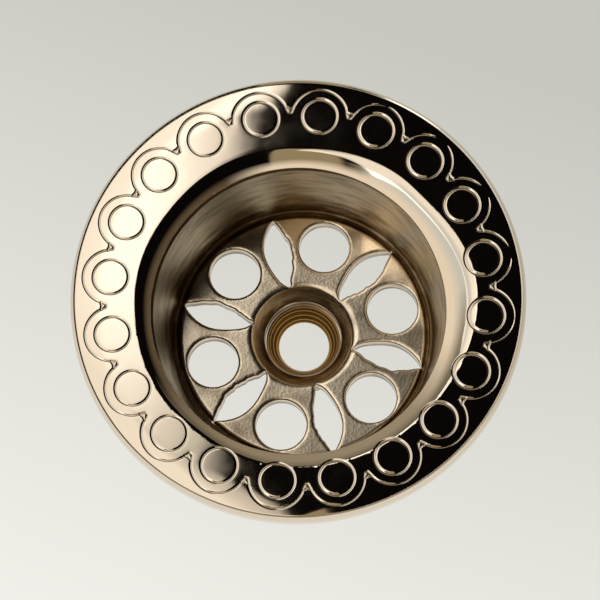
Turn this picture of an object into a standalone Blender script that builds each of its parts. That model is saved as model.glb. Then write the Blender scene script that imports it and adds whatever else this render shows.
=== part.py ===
"""A basin drain: a flange over a tapering cup, a cast grid with a tapped hub, and the clamping set."""

import math

import bmesh
import bpy

# Room between pieces that touch
GAP = 0.0003
# How far a cutter passes the faces that it cuts
REACH = 0.0005

# Points this close are one
MERGE_DISTANCE = 0.000003

# Radii of the body, from the thread outwards
THREAD_RADIUS = 0.02095
FLANGE_OVERHANG = 0.00765
CROWN_WIDTH = 0.00335
EDGE_WIDTH = 0.00065
SIDE_DRAFT = 0.00045
RIM_WIDTH = 0.0013

# Wall thicknesses and steps of the body, from the thread inwards
COLLAR_WALL = 0.00085
LIP_WALL = 0.0009
THROAT_DRAFT = 0.00025
FUNNEL_WIDTH = 0.0026
CUP_TOP_WALL = 0.00225
CUP_TAPER = 0.0018
BEAD_WIDTH = 0.0004
SEAT_WALL = 0.00325

# Heights of the body, from the bottom rim upwards
GRID_LIFT = 0.004
GRID_THICKNESS = 0.0024
GRID_STEP = 0.0009
BEAD_HEIGHT = 0.0009
CUP_WALL_HEIGHT = 0.0123
SEAL_THICKNESS = 0.0005
SPIGOT_LENGTH = 0.0026
GASKET_THICKNESS = 0.002
FLANGE_THICKNESS = 0.0022
FUNNEL_DEPTH = 0.0024
CROWN_FALL = 0.00042
EDGE_FALL = 0.00058
RIM_DROP = 0.0004
CROWN_POWER = 2
CUP_POWER = 2

# Rounded and bevelled edges
EDGE_ROUNDING = 0.0002
SHOULDER_ROUNDING = 0.0004
FOOT_BEVEL = 0.0008
SOFT_ROUNDING = 0.0003

# Thread of the body, drawn as rings at its pitch
THREAD_TURNS = 6
THREAD_PITCH = 0.002309
THREAD_DEPTH = 0.0011
THREAD_LIFT = 0.0016
CREST_WIDTH = 0.0004

# Grid plate: six round holes and six leaf slots
MOAT_WIDTH = 0.0004
HOLE_COUNT = 6
HOLE_RIM = 0.00061
HOLE_WEB = 0.00114
HOLE_HALF_TURN = 21.3
FIRST_HOLE_TURN = 12.9
LEAF_ROOT = 0.00025
LEAF_TIP = 0.00015
LEAF_INNER_TURN = 46.5
LEAF_OUTER_TURN = 45.6
# Share of the leaf's length, then the turns of its two edges at that place
LEAF_SHARES = (
    (0.11, 38.5, 46.8),
    (0.20, 36.4, 49.6),
    (0.30, 35.2, 51.2),
    (0.45, 34.6, 52.0),
    (0.60, 35.5, 51.9),
    (0.72, 37.4, 49.8),
    (0.84, 40.4, 47.8),
    (0.93, 43.2, 46.3),
)

# Hub of the grid and its bush
BUSH_BORE_RADIUS = 0.00329
BUSH_WALL = 0.00161
BUSH_HEIGHT = 0.0027
BUSH_LIP = 0.0002
BUSH_STOP = 0.00025
CONE_FLARE = 0.00205
BOSS_WALL = 0.0011

# Clamping set under the flange
BASIN_ROOM = 0.0025
WASHER_HEIGHT = 0.004
WASHER_WIDTH = 0.00325
WASHER_FACE_WIDTH = 0.00095
WASHER_SKIRT = 0.0012
SLIP_THICKNESS = 0.001
NUT_HEIGHT = 0.0055
NUT_WIDTH = 0.00295
NUT_BEVEL = 0.0005
NOTCH_COUNT = 6
NOTCH_WIDTH = 0.004
NOTCH_DEPTH = 0.0009

# Steps round each turned piece and along each curve
FLANGE_STEPS = 80
BODY_STEPS = 64
SLEEVE_STEPS = 48
BUSH_STEPS = 32
HOLE_STEPS = 32
FUNNEL_STEPS = 8
CROWN_STEPS = 4
EDGE_STEPS = 3
CUP_STEPS = 5
CORNER_STEPS = 2
LEAF_STEPS = 2

# Radii that follow
SLEEVE_RADIUS = THREAD_RADIUS + GAP
COLLAR_RADIUS = THREAD_RADIUS - COLLAR_WALL
SPIGOT_RADIUS = COLLAR_RADIUS - GAP
LIP_RADIUS = SPIGOT_RADIUS - LIP_WALL
THROAT_RADIUS = LIP_RADIUS - THROAT_DRAFT
CUP_TOP_RADIUS = THREAD_RADIUS - CUP_TOP_WALL
CUP_FOOT_RADIUS = CUP_TOP_RADIUS - CUP_TAPER
BEAD_RADIUS = CUP_FOOT_RADIUS - BEAD_WIDTH
SEAT_RADIUS = THREAD_RADIUS - SEAT_WALL
GRID_RADIUS = SEAT_RADIUS - GAP
GRID_FACE_RADIUS = BEAD_RADIUS - MOAT_WIDTH
FLANGE_RADIUS = THREAD_RADIUS + FLANGE_OVERHANG
EDGE_RADIUS = FLANGE_RADIUS - EDGE_WIDTH
CROWN_RADIUS = EDGE_RADIUS - CROWN_WIDTH
RIM_RADIUS = FLANGE_RADIUS - RIM_WIDTH
BUSH_RADIUS = BUSH_BORE_RADIUS + BUSH_WALL
BUSH_SEAT_RADIUS = BUSH_RADIUS + GAP
BOSS_RADIUS = BUSH_SEAT_RADIUS + BOSS_WALL
CONE_FOOT_RADIUS = BUSH_SEAT_RADIUS - BUSH_STOP
CONE_MOUTH_RADIUS = CONE_FOOT_RADIUS + CONE_FLARE
LEAF_INNER_RADIUS = BOSS_RADIUS + LEAF_ROOT
LEAF_LENGTH = GRID_FACE_RADIUS + LEAF_TIP - LEAF_INNER_RADIUS
# Each round hole keeps a rim to the edge of the face and a web to the leaves beside it
HOLE_SPREAD = math.sin(math.radians(HOLE_HALF_TURN))
HOLE_RADIUS = ((GRID_FACE_RADIUS - HOLE_RIM) * HOLE_SPREAD - HOLE_WEB) / (1 + HOLE_SPREAD)
HOLE_CIRCLE_RADIUS = GRID_FACE_RADIUS - HOLE_RIM - HOLE_RADIUS

# Heights that follow
GRID_TOP = GRID_LIFT + GRID_THICKNESS
GRID_SHOULDER = GRID_TOP - GRID_STEP
BEAD_UNDERSIDE = GRID_SHOULDER + GAP
BEAD_TOP = BEAD_UNDERSIDE + BEAD_HEIGHT
LEDGE = BEAD_TOP + CUP_WALL_HEIGHT
SEAL_UNDERSIDE = LEDGE + GAP
SPIGOT_END = SEAL_UNDERSIDE + SEAL_THICKNESS + GAP
SHOULDER = SPIGOT_END + SPIGOT_LENGTH
CUP_TOP = SHOULDER - GAP
FLANGE_UNDERSIDE = SHOULDER + GASKET_THICKNESS + GAP
FLANGE_TOP = FLANGE_UNDERSIDE + FLANGE_THICKNESS
EDGE_TOP = FLANGE_TOP - CROWN_FALL
THROAT_TOP = FLANGE_TOP - FUNNEL_DEPTH
RIM_UNDERSIDE = FLANGE_UNDERSIDE - RIM_DROP
BUSH_SHELF = BUSH_HEIGHT + GAP
WASHER_TOP = SHOULDER - BASIN_ROOM
WASHER_UNDERSIDE = WASHER_TOP - WASHER_HEIGHT
SLIP_TOP = WASHER_UNDERSIDE - GAP
SLIP_UNDERSIDE = SLIP_TOP - SLIP_THICKNESS
NUT_TOP = SLIP_UNDERSIDE - GAP
NUT_UNDERSIDE = NUT_TOP - NUT_HEIGHT


def clear_scene():
    for obj in list(bpy.data.objects):
        bpy.data.objects.remove(obj, do_unlink=True)


def new_collection(name):
    collection = bpy.data.collections.new(name)
    bpy.context.scene.collection.children.link(collection)
    return collection


def finish(name, colour, metallic, roughness):
    """A plain Principled material."""
    material = bpy.data.materials.new(name)
    material.use_nodes = True
    shader = material.node_tree.nodes["Principled BSDF"]
    shader.inputs["Base Color"].default_value = (*colour, 1)
    shader.inputs["Metallic"].default_value = metallic
    shader.inputs["Roughness"].default_value = roughness
    return material


def place(angle, radius):
    """A point at this turn, in degrees clockwise from +Y, seen from above."""
    turn = math.radians(angle)
    return radius * math.sin(turn), radius * math.cos(turn)


def rounded(corners):
    """The profile through corners of (radius, height, rounding). A rounding makes a corner a soft curve."""
    profile = []
    count = len(corners)
    for index, (radius, height, rounding) in enumerate(corners):
        if not rounding:
            profile.append((radius, height))
            continue
        before = corners[index - 1]
        after = corners[(index + 1) % count]
        to_before = (before[0] - radius, before[1] - height)
        to_after = (after[0] - radius, after[1] - height)
        start_scale = rounding / math.hypot(*to_before)
        end_scale = rounding / math.hypot(*to_after)
        for step in range(CORNER_STEPS + 1):
            share = step / CORNER_STEPS
            start = start_scale * (1 - share) ** 2
            end = end_scale * share**2
            across = radius + start * to_before[0] + end * to_after[0]
            up = height + start * to_before[1] + end * to_after[1]
            profile.append((across, up))
    return profile


def turned(name, profile, steps, material, collection):
    """A closed profile of (radius, height) points, down its outer side first, turned round the Z axis."""
    count = len(profile)
    mesh = bpy.data.meshes.new(name)
    points = [(radius, 0, height) for radius, height in profile]
    edges = [(index, (index + 1) % count) for index in range(count)]
    mesh.from_pydata(points, edges, [])
    obj = bpy.data.objects.new(name, mesh)
    collection.objects.link(obj)
    screw = obj.modifiers.new("turned", "SCREW")
    screw.axis = "Z"
    screw.steps = steps
    screw.render_steps = steps
    screw.use_merge_vertices = True
    screw.merge_threshold = MERGE_DISTANCE
    screw.use_smooth_shade = True
    mesh.materials.append(material)
    return obj


def as_cutter(obj):
    obj.hide_render = True
    obj.display_type = "WIRE"
    return obj


def cylinder_cutter(name, centre, radius, foot, top, collection):
    """An upright cylinder from foot to top."""
    mesh = bpy.data.meshes.new(name)
    shape = bmesh.new()
    bmesh.ops.create_cone(
        shape, cap_ends=True, segments=HOLE_STEPS, radius1=radius, radius2=radius, depth=top - foot
    )
    shape.to_mesh(mesh)
    shape.free()
    obj = bpy.data.objects.new(name, mesh)
    obj.location = (*centre, (foot + top) / 2)
    collection.objects.link(obj)
    return as_cutter(obj)


def box_cutter(name, turn, radius, size, middle, collection):
    """An upright box at this turn and radius, square to the radius."""
    mesh = bpy.data.meshes.new(name)
    shape = bmesh.new()
    bmesh.ops.create_cube(shape, size=1)
    bmesh.ops.scale(shape, vec=size, verts=shape.verts)
    shape.to_mesh(mesh)
    shape.free()
    obj = bpy.data.objects.new(name, mesh)
    obj.location = (*place(turn, radius), middle)
    obj.rotation_euler.z = -math.radians(turn)
    collection.objects.link(obj)
    return as_cutter(obj)


def leaf_cutter(name, turn, collection):
    """A leaf slot: a closed Bezier outline with two pointed ends, extruded through the plate."""
    inner = (LEAF_INNER_RADIUS, LEAF_INNER_TURN)
    outer = (LEAF_INNER_RADIUS + LEAF_LENGTH, LEAF_OUTER_TURN)
    left = [(LEAF_INNER_RADIUS + share * LEAF_LENGTH, edge) for share, edge, _ in LEAF_SHARES]
    right = [(LEAF_INNER_RADIUS + share * LEAF_LENGTH, edge) for share, _, edge in LEAF_SHARES]
    outline = [inner, *left, outer, *reversed(right)]
    curve = bpy.data.curves.new(name, "CURVE")
    curve.dimensions = "2D"
    curve.fill_mode = "BOTH"
    curve.extrude = GRID_THICKNESS / 2 + REACH
    curve.resolution_u = LEAF_STEPS
    spline = curve.splines.new("BEZIER")
    spline.bezier_points.add(len(outline) - 1)
    spline.use_cyclic_u = True
    for point, (radius, edge) in zip(spline.bezier_points, outline):
        kind = "VECTOR" if edge in (LEAF_INNER_TURN, LEAF_OUTER_TURN) else "AUTO"
        point.co = (*place(edge + turn, radius), 0)
        point.handle_left_type = kind
        point.handle_right_type = kind
    drawn = bpy.data.objects.new(name + "_outline", curve)
    collection.objects.link(drawn)
    bpy.context.view_layer.update()
    mesh = bpy.data.meshes.new_from_object(drawn.evaluated_get(bpy.context.evaluated_depsgraph_get()))
    bpy.data.objects.remove(drawn, do_unlink=True)
    shape = bmesh.new()
    shape.from_mesh(mesh)
    bmesh.ops.remove_doubles(shape, verts=shape.verts, dist=MERGE_DISTANCE)
    bmesh.ops.recalc_face_normals(shape, faces=shape.faces)
    shape.to_mesh(mesh)
    shape.free()
    obj = bpy.data.objects.new(name, mesh)
    obj.location.z = GRID_LIFT + GRID_THICKNESS / 2
    collection.objects.link(obj)
    return as_cutter(obj)


def cut(obj, cutter):
    boolean = obj.modifiers.new(cutter.name, "BOOLEAN")
    boolean.operation = "DIFFERENCE"
    boolean.solver = "EXACT"
    boolean.object = cutter


def flange_profile():
    """The flange's section: a flat border between a low crown and a funnel that rolls into the throat."""
    crown = []
    for step in range(CROWN_STEPS):
        share = step / CROWN_STEPS
        height = FLANGE_TOP - share**CROWN_POWER * CROWN_FALL
        crown.append((CROWN_RADIUS + share * CROWN_WIDTH, height, 0))
    edge = []
    for step in range(EDGE_STEPS + 1):
        turn = math.pi / 2 * step / EDGE_STEPS
        across = EDGE_RADIUS + EDGE_WIDTH * math.sin(turn)
        edge.append((across, EDGE_TOP - EDGE_FALL * (1 - math.cos(turn)), 0))
    funnel = []
    for step in range(FUNNEL_STEPS + 1):
        turn = math.pi / 2 * step / FUNNEL_STEPS
        across = THROAT_RADIUS + FUNNEL_WIDTH * (1 - math.cos(turn))
        funnel.append((across, THROAT_TOP + FUNNEL_DEPTH * math.sin(turn), 0))
    under = [
        (FLANGE_RADIUS - SIDE_DRAFT, RIM_UNDERSIDE, EDGE_ROUNDING),
        (RIM_RADIUS, RIM_UNDERSIDE, EDGE_ROUNDING),
        (RIM_RADIUS, FLANGE_UNDERSIDE, 0),
        (THREAD_RADIUS, FLANGE_UNDERSIDE, 0),
        (THREAD_RADIUS, SHOULDER, 0),
        (SPIGOT_RADIUS, SHOULDER, 0),
        (SPIGOT_RADIUS, SPIGOT_END, 0),
        (LIP_RADIUS, SPIGOT_END, 0),
    ]
    return rounded(crown + edge + under + funnel)


def cup_profile():
    """The cup's section: a thread, a collar for the spigot, a curved taper, and a bead over the seat."""
    thread = []
    for index in reversed(range(THREAD_TURNS)):
        crest = THREAD_LIFT + (index + 1) * THREAD_PITCH
        groove_foot = crest - THREAD_PITCH + CREST_WIDTH
        thread.append((THREAD_RADIUS, crest, 0))
        thread.append((THREAD_RADIUS - THREAD_DEPTH, (crest + groove_foot) / 2, 0))
        thread.append((THREAD_RADIUS, groove_foot, 0))
    wall = []
    for step in range(CUP_STEPS + 1):
        share = 1 - step / CUP_STEPS
        wall.append((CUP_TOP_RADIUS - CUP_TAPER * share**CUP_POWER, LEDGE - share * CUP_WALL_HEIGHT, 0))
    return rounded(
        [
            (THREAD_RADIUS, CUP_TOP, 0),
            *thread,
            (THREAD_RADIUS, 0, FOOT_BEVEL),
            (SEAT_RADIUS, 0, 0),
            (SEAT_RADIUS, BEAD_UNDERSIDE, 0),
            (BEAD_RADIUS, BEAD_UNDERSIDE, 0),
            (BEAD_RADIUS, BEAD_TOP, BEAD_WIDTH / 2),
            *wall,
            (COLLAR_RADIUS, LEDGE, 0),
            (COLLAR_RADIUS, CUP_TOP, 0),
        ]
    )


def grid_profile():
    """The grid's section: a stepped plate whose hub sinks as a cone and opens to the seat of the bush."""
    return rounded(
        [
            (GRID_FACE_RADIUS, GRID_TOP, SHOULDER_ROUNDING),
            (GRID_FACE_RADIUS, GRID_SHOULDER, 0),
            (GRID_RADIUS, GRID_SHOULDER, 0),
            (GRID_RADIUS, GRID_LIFT, SOFT_ROUNDING),
            (BOSS_RADIUS, GRID_LIFT, 0),
            (BOSS_RADIUS, 0, SOFT_ROUNDING),
            (BUSH_SEAT_RADIUS, 0, 0),
            (BUSH_SEAT_RADIUS, BUSH_SHELF, 0),
            (CONE_FOOT_RADIUS, BUSH_SHELF, 0),
            (CONE_MOUTH_RADIUS, GRID_TOP, SOFT_ROUNDING),
        ]
    )


def add_flange_and_cup(parts, nickel, satin, tan):
    turned("flange_ring", flange_profile(), FLANGE_STEPS, nickel, parts)
    turned("strainer_cup", cup_profile(), BODY_STEPS, satin, parts)
    seal = [
        (SPIGOT_RADIUS, SEAL_UNDERSIDE + SEAL_THICKNESS),
        (SPIGOT_RADIUS, SEAL_UNDERSIDE),
        (LIP_RADIUS, SEAL_UNDERSIDE),
        (LIP_RADIUS, SEAL_UNDERSIDE + SEAL_THICKNESS),
    ]
    turned("lip_seal", seal, BODY_STEPS, tan, parts)


def add_grid(parts, cutters, satin, brass):
    grid = turned("grid_plate", grid_profile(), BODY_STEPS, satin, parts)
    pitch = 360 / HOLE_COUNT
    for index in range(HOLE_COUNT):
        centre = place(FIRST_HOLE_TURN + index * pitch, HOLE_CIRCLE_RADIUS)
        hole = cylinder_cutter(
            f"hole_{index}", centre, HOLE_RADIUS, GRID_LIFT - REACH, GRID_TOP + REACH, cutters
        )
        cut(grid, hole)
        cut(grid, leaf_cutter(f"leaf_{index}", index * pitch, cutters))
    bush = rounded(
        [
            (BUSH_RADIUS, BUSH_HEIGHT, 0),
            (BUSH_RADIUS, 0, 0),
            (BUSH_BORE_RADIUS, 0, 0),
            (BUSH_RADIUS - BUSH_LIP, BUSH_HEIGHT, 0),
        ]
    )
    turned("hub_bush", bush, BUSH_STEPS, brass, parts)


def add_clamping_set(parts, cutters, foam, rubber, slip, brass):
    gasket_radius = RIM_RADIUS - GAP
    gasket = rounded(
        [
            (gasket_radius, SHOULDER + GASKET_THICKNESS, SOFT_ROUNDING),
            (gasket_radius, SHOULDER, SOFT_ROUNDING),
            (SLEEVE_RADIUS, SHOULDER, 0),
            (SLEEVE_RADIUS, SHOULDER + GASKET_THICKNESS, 0),
        ]
    )
    turned("flange_gasket", gasket, SLEEVE_STEPS, foam, parts)
    washer_radius = SLEEVE_RADIUS + WASHER_WIDTH
    washer = rounded(
        [
            (SLEEVE_RADIUS + WASHER_FACE_WIDTH, WASHER_TOP, 0),
            (washer_radius, WASHER_UNDERSIDE + WASHER_SKIRT, SOFT_ROUNDING),
            (washer_radius, WASHER_UNDERSIDE, SOFT_ROUNDING),
            (SLEEVE_RADIUS, WASHER_UNDERSIDE, 0),
            (SLEEVE_RADIUS, WASHER_TOP, 0),
        ]
    )
    turned("rubber_washer", washer, SLEEVE_STEPS, rubber, parts)
    slip_ring = [
        (washer_radius, SLIP_TOP),
        (washer_radius, SLIP_UNDERSIDE),
        (SLEEVE_RADIUS, SLIP_UNDERSIDE),
        (SLEEVE_RADIUS, SLIP_TOP),
    ]
    turned("friction_washer", slip_ring, SLEEVE_STEPS, slip, parts)
    nut_radius = SLEEVE_RADIUS + NUT_WIDTH
    nut_profile = [
        (nut_radius - NUT_BEVEL, NUT_TOP),
        (nut_radius, NUT_TOP - NUT_BEVEL),
        (nut_radius, NUT_UNDERSIDE + NUT_BEVEL),
        (nut_radius - NUT_BEVEL, NUT_UNDERSIDE),
        (SLEEVE_RADIUS, NUT_UNDERSIDE),
        (SLEEVE_RADIUS, NUT_TOP),
    ]
    nut = turned("ring_nut", nut_profile, SLEEVE_STEPS, brass, parts)
    notch_size = (NOTCH_WIDTH, 2 * NOTCH_DEPTH, NUT_HEIGHT + 2 * REACH)
    middle = NUT_TOP - NUT_HEIGHT / 2
    for index in range(NOTCH_COUNT):
        turn = (index + 1 / 2) * 360 / NOTCH_COUNT
        cut(nut, box_cutter(f"notch_{index}", turn, nut_radius, notch_size, middle, cutters))


def main():
    clear_scene()
    parts = new_collection("basin_drain")
    cutters = new_collection("cutters")
    nickel = finish("polished_nickel", (0.71, 0.64, 0.55), 1, 0.12)
    satin = finish("satin_nickel", (0.52, 0.43, 0.33), 1, 0.35)
    grid_metal = finish("cast_nickel", (0.55, 0.46, 0.36), 1, 0.3)
    brass = finish("tapped_brass", (0.72, 0.52, 0.22), 1, 0.3)
    tan = finish("seal_fibre", (0.45, 0.3, 0.16), 0, 0.7)
    foam = finish("gasket_foam", (0.05, 0.05, 0.05), 0, 0.9)
    rubber = finish("washer_rubber", (0.02, 0.02, 0.02), 0, 0.6)
    slip = finish("slip_plastic", (0.7, 0.7, 0.66), 0, 0.4)
    nut_brass = finish("nut_brass", (0.72, 0.54, 0.27), 1, 0.35)
    add_flange_and_cup(parts, nickel, satin, tan)
    add_grid(parts, cutters, grid_metal, brass)
    add_clamping_set(parts, cutters, foam, rubber, slip, nut_brass)


main()
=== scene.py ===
import math

import bmesh
import bpy
from mathutils import Euler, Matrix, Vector
from mathutils.geometry import delaunay_2d_cdt


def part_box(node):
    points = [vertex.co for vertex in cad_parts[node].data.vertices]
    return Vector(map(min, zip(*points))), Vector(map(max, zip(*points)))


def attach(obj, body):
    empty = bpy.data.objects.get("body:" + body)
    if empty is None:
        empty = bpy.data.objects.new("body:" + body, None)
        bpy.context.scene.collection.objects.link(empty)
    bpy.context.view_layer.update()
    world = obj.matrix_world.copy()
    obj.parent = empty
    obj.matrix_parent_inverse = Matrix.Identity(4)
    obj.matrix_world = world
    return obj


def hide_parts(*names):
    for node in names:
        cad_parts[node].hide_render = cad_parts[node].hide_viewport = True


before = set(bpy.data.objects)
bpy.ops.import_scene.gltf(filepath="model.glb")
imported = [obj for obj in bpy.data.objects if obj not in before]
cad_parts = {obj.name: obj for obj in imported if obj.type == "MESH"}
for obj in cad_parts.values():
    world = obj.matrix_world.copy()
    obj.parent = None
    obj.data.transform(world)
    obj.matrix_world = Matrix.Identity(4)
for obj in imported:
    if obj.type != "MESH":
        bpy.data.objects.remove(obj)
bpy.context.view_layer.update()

MM = 0.001
FULL_TURN = 2 * math.pi
# Points this close are one
MERGE = 0.001 * MM
# Steps of a softened corner, and steps round the axis of each turned piece
CORNER_STEPS = 4
FLANGE_STEPS = 360
CUP_STEPS = 240
SEAL_STEPS = 240
GRID_STEPS = 180
BUSH_STEPS = 120
WASHER_STEPS = 160

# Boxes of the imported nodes
flange_low, flange_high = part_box("flange_ring")
_, cup_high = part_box("strainer_cup")
_, grid_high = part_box("grid_plate")
_, bush_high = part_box("hub_bush")
seal_low, seal_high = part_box("lip_seal")

# Sizes that follow from the boxes
FIT_GAP = 0.3 * MM
FLANGE_THICKNESS = 2.2 * MM
RIM_LIP = 0.4 * MM
SPIGOT_WALL = 0.9 * MM
GRID_THICKNESS = 2.4 * MM
FLANGE_RADIUS = flange_high.x
FLANGE_TOP = flange_high.z
FLANGE_UNDERSIDE = FLANGE_TOP - FLANGE_THICKNESS
RIM_UNDERSIDE = FLANGE_UNDERSIDE - RIM_LIP
SPIGOT_END = flange_low.z
SPIGOT_RADIUS = seal_high.x
LIP_RADIUS = SPIGOT_RADIUS - SPIGOT_WALL
THREAD_RADIUS = cup_high.x
CUP_TOP = cup_high.z
SHOULDER_HEIGHT = CUP_TOP + FIT_GAP
GRID_TOP = grid_high.z
GRID_UNDERSIDE = GRID_TOP - GRID_THICKNESS
GRID_MIDDLE = GRID_TOP - GRID_THICKNESS / 2

# Border: one ring and one scallop, twenty times round
RING_COUNT = 20
HALF_PITCH = FULL_TURN / RING_COUNT / 2
FIRST_RING_TURN = 6
BORDER_INNER = 20.4 * MM
BORDER_OUTER = 27.8 * MM
RING_CIRCLE = 23.65 * MM
RING_RADIUS = 2.24 * MM
RING_GROOVE_WIDTH = 0.54 * MM
RING_GROOVE_DEPTH = 0.14 * MM
# The groove's side next to the disc is wider and flatter than its other side
DISC_SIDE_WIDTH = 1.25
OTHER_SIDE_WIDTH = 0.85
SCALLOP_RADIUS = 3.5 * MM
SCALLOP_END = 75.8
SCALLOP_GROOVE_WIDTH = 0.36 * MM
SCALLOP_GROOVE_DEPTH = 0.08 * MM
SHOULDER_DEPTH = 0.003 * MM
SHOULDER_WIDTH = 0.35 * MM
# How far each scallop's top was polished away, clockwise from the first ring
SCALLOP_WEAR = (0.5, 0.75, 1, 1, 0.95, 0.7, 0.2) + 13 * (0,)
WEAR_REACH = 30
# How deep each ring was cut, clockwise from the first
RING_CUTS = (0.9,) + 8 * (1,) + (0.9, 0.8, 0.7) + 7 * (0.6,) + (0.75,)

# The small mark between two scallops, on the line where two tiles meet
MARK_ALONG = Vector((math.sin(HALF_PITCH), math.cos(HALF_PITCH)))
MARK_ACROSS = Vector((-MARK_ALONG.y, MARK_ALONG.x))
MARK_INNER = 24.05 * MM
MARK_OUTER = 24.72 * MM
MARK_HALF_WIDTH = 0.52 * MM
MARK_TIP_HALF_WIDTH = 0.18 * MM
MARK_DIP = 0.12 * MM
MARK_GROOVE_WIDTH = 0.34 * MM
MARK_GROOVE_DEPTH = 0.11 * MM

# Points of a tile: rows beside the lines, in millimetres from them
RING_ROWS = (0, 0.07, 0.14, 0.21, 0.28, 0.36, 0.46, 0.62)
RING_POINTS = 96
SCALLOP_ROWS = (0, 0.05, 0.1, 0.15, 0.2, 0.32)
# Points each way from the scallop's top, this many degrees apart
SCALLOP_POINTS = 39
SCALLOP_POINT_TURN = 2
# Fine field round the mark: its points, and how far it reaches inwards and outwards
FIELD_STEP = 0.055 * MM
FIELD_ROWS = 24
FIELD_COLUMNS = 15
FIELD_FIRST_ROW = 0.25 * MM
FIELD_INWARD = 0.28 * MM
FIELD_OUTWARD = 1.05 * MM
# Rows and columns between the lines, the rows half as far apart where the roll starts
BORDER_STEP = 0.36 * MM
BORDER_COLUMNS = 8
FINE_ROWS_END = 23.15 * MM
# How far other points stay from the lines, the field and the tile's edges
RING_CLEARANCE = 0.8 * MM
SCALLOP_CLEARANCE = 0.4 * MM
LINE_CLEARANCE = 0.02 * MM
FIELD_CLEARANCE = 0.05 * MM
ARC_CLEARANCE = 0.1 * MM
SIDE_CLEARANCE = 0.03 * MM
# Points on the tile's straight sides, finer beside the mark
SIDE_STEP = 0.2 * MM
FINE_SIDE_REACH = 0.4 * MM
# Triangulation of the plan, in millimetres, inside its outline only
PLAN_MERGE = 0.004
INSIDE_ONLY = 1

# Flange section: flat border, slightly convex crown, crease, small bead, rounded edge
CROWN_RADIUS = 24.6 * MM
CROWN_REACH = 27.93 * MM
CROWN_FALL = 0.2 * MM
CROWN_POWER = 2.2
CROWN_STEPS = 2
CREASE_WIDTH = 0.06 * MM
CREASE_DEPTH = 0.02 * MM
BEAD_START = 0.25 * MM
BEAD_DROP = 0.08 * MM
EDGE_WIDEST = 0.75 * MM
EDGE_ROUNDING = 0.3 * MM
RIM_WIDTH = 1.3 * MM

# Where the flat border rolls into the funnel, in millimetres, every 45 degrees clockwise from the back
TABLE_TURN = 45
ROLL_STARTS = (19.4, 20.2, 22.5, 21.8, 21.9, 21.2, 20.4, 19.6)
# How soon the roll steepens, at the same eight turns: at once toward the front right
ROLL_POWERS = (0.6, 0.6, 0.6, 0.3, 0.3, 0.45, 0.6, 0.6)
# Its steepest slope, in degrees, and how much steeper it is at the back than at the sides
ROLL_STEEPEST = 44
ROLL_LEAN = 6
# It ends on a circle that was ground off centre, toward the front
FUNNEL_RADIUS = 18.55 * MM
FUNNEL_SHIFT = 1.5 * MM
# Steps of its curve and of the line below it, and rows of points that share them out
ROLL_STEPS = 48
THROAT_STEPS = 8
ROLL_ROWS = 34
THROAT_ROWS = 4
# Spacing that numbers the rows until each point gets its place
ROW_NUMBERING = 0.01 * MM

# Cup: thread outside, tapered wall and a bead over the grid's seat inside
THREAD_PITCH = 2.309 * MM
THREAD_DEPTH = 1.1 * MM
THREAD_FOOT = 0.5 * MM
THREAD_TOP = 15.6 * MM
THREAD_RUN = 1.2 * MM
THREAD_ROWS = 12
THREAD_SKIN = 0.05 * MM
COLLAR_FOOT = 18 * MM
CUP_CHAMFER = 0.3 * MM
FOOT_CHAMFER = 0.8 * MM
LEDGE_RADIUS = 20.1 * MM
WALL_RADIUS = 18.7 * MM
WALL_TAPER = 1.8 * MM
WALL_STEPS = 18
SEAT_RADIUS = 17.7 * MM
SEAT_BEAD_RADIUS = 16.5 * MM
SEAT_BEAD_TOP = 6.7 * MM
SEAT_BEAD_FOOT = 5.8 * MM
SEAT_BEAD_ROUNDING = 0.3 * MM

# Grid plate and its hub
PLATE_RADIUS = 17.4 * MM
FACE_RADIUS = 16.1 * MM
FACE_STEP = 0.6 * MM
BOSS_RADIUS = 6.3 * MM
HUB_MOUTH = 6.7 * MM
HUB_DEPTH = 1.9 * MM
HUB_STOP_RADIUS = 4.95 * MM
HUB_STOP_FOOT = 3 * MM
HUB_BORE = 5.2 * MM
CUTTER_REACH = 3 * MM
HOLE_COUNT = 6
HOLE_RADIUS = 3.29 * MM
HOLE_CIRCLE = 12.2 * MM
HOLE_POINTS = 96
FIRST_HOLE_TURN = 12.9
LEAF_INNER = 6.55 * MM
LEAF_OUTER = 16.25 * MM
# Turns of the leaf's inner and outer tip, and its two edges as (share of its length, turn, turn)
LEAF_TIPS = (46.5, 45.6)
LEAF_SHARES = (
    (0.11, 38.5, 46.8),
    (0.20, 36.4, 49.6),
    (0.30, 35.2, 51.2),
    (0.45, 34.6, 52.0),
    (0.60, 35.5, 51.9),
    (0.72, 37.4, 49.8),
    (0.84, 40.4, 47.8),
    (0.93, 43.2, 46.3),
)
# Flash left along one edge of each leaf: its points, its height and its two waves
LEAF_STEPS = 22
LEAF_FLASH = 0.13 * MM
FLASH_WAVE = 2.3
FLASH_SLOW_WAVE = 0.9
CASTING_VOXEL = 0.165 * MM
CASTING_SOFTENING = 5

# Bush: a coned bore with the ridges of its thread
BORE_FOOT_RADIUS = 3.29 * MM
BORE_TOP_RADIUS = 4.7 * MM
BORE_STEPS = 30
RIDGE_HEIGHT = 0.11 * MM
RIDGE_COUNT = 3.5
RIDGE_FADE = 6

# Clamping set
CLAMP_BORE = 21.25 * MM
BEVEL_RADIUS = 22.2 * MM
BEVEL_FOOT = 1.2 * MM
NUT_RADIUS = 24.2 * MM
NUT_CHAMFER = 0.5 * MM
NUT_SLOTS = 6
FIRST_SLOT_TURN = 30
SLOT_BOX = (4 * MM, 1.8 * MM, 9 * MM)

# Table: the share of its brightness that comes from below, and how fast it grows toward the front left
TABLE_SIZE = 6
TABLE_GLOW = 0.9
TABLE_FALL = (-1.42, -4.14, 0)
TABLE_STOPS = [(0.3, "#CECEC6"), (0.7, "#FAF9F3")]

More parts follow.
